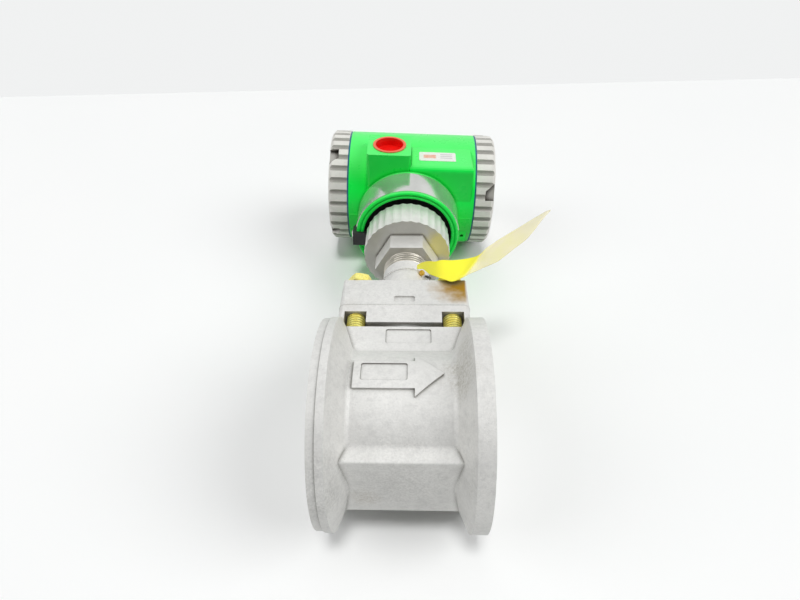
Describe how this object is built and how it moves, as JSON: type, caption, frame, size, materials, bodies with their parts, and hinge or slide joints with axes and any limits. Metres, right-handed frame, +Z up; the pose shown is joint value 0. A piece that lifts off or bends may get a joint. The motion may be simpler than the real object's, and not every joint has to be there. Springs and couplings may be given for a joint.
{
  "type": "vortex flow meter",
  "caption": "Wafer-body vortex flow meter: flow tube with shedder bar, bolted bonnet and neck carrying a swivelling transmitter housing with screw caps.",
  "frame": {"origin": "centre of the inlet gasket face, on the pipe axis", "axes": "+X along the flow, +Y along the neck towards the transmitter housing, +Z up as the meter lies on a bench"},
  "size_m": [0.1235, 0.278, 0.1021],
  "materials": {
    "cast_stainless": "bead-blasted cast stainless steel",
    "machined_stainless": "machined stainless steel",
    "graphite": "compressed graphite sheet",
    "yellow_zinc": "yellow zinc plated steel",
    "black_rubber": "moulded rubber",
    "lead_jacket": "cable jacket",
    "green_paint": "gloss green paint over die-cast aluminium",
    "bright_foil": "bright metal foil",
    "black_plastic": "moulded plastic",
    "bright_screw": "bright steel screws",
    "white_label": "printed label stock",
    "red_plastic": "moulded plastic",
    "potted_module": "potted plastic cup",
    "teal_rubber": "fluoro-rubber",
    "bare_die_cast": "bare die-cast aluminium",
    "yellow_film": "translucent film",
    "tie_wire": "cord tie"
  },
  "bodies": {
    "meter": {"meter_body": "cast_stainless", "shedder_bar": "machined_stainless", "vortex_sensor": "machined_stainless", "sensor_gasket": "graphite", "bonnet": "cast_stainless", "bonnet_bolts": "yellow_zinc", "neck_tube": "cast_stainless", "neck_collar": "machined_stainless", "swivel_ring": "black_rubber", "sensor_lead": "lead_jacket", "tag": "yellow_film", "tag_tie": "tie_wire"},
    "transmitter": {"housing": "green_paint", "dust_seal": "black_rubber", "socket_band": "bright_foil", "retaining_clip": "black_plastic", "clip_screw": "bright_screw", "housing_label": "white_label", "electronics_module": "potted_module", "module_screws": "bright_screw", "terminal_block": "black_plastic", "terminal_screws": "bright_screw"},
    "left_seal": {"left_cap_seal": "teal_rubber"},
    "left_cover": {"left_cap": "bare_die_cast"},
    "right_seal": {"right_cap_seal": "teal_rubber"},
    "right_cover": {"right_cap": "bare_die_cast"},
    "plug": {"conduit_plug": "red_plastic"}
  },
  "joints": [
    {"name": "housing_swivel", "type": "hinge", "parent": "meter", "child": "transmitter", "pos_m": [0.035, 0.1448, 0], "axis": [0, 1, 0], "range_deg": [-180, 90]},
    {"name": "left_cap_travel", "type": "slide", "parent": "transmitter", "child": "left_seal", "axis": [-0.9991, 0, 0.0419], "range_m": [0, 0.00705]},
    {"name": "left_cap_turn", "type": "hinge", "parent": "left_seal", "child": "left_cover", "pos_m": [-0.00457, 0.1952, 0.00166], "axis": [-0.9991, 0, 0.0419], "range_deg": [0, 1260]},
    {"name": "right_cap_travel", "type": "slide", "parent": "transmitter", "child": "right_seal", "axis": [0.9991, 0, -0.0419], "range_m": [0, 0.00705]},
    {"name": "right_cap_turn", "type": "hinge", "parent": "right_seal", "child": "right_cover", "pos_m": [0.07796, 0.1952, -0.0018], "axis": [0.9991, 0, -0.0419], "range_deg": [0, 1260]},
    {"name": "plug_pull", "type": "slide", "parent": "transmitter", "child": "plug", "axis": [0.0419, 0, 0.9991], "range_m": [0, 0.02]}
  ],
  "couplings": [
    {"joint": "left_cap_travel", "follows": "left_cap_turn", "m_per_rad": 0.00031831},
    {"joint": "right_cap_travel", "follows": "right_cap_turn", "m_per_rad": 0.00031831}
  ]
}
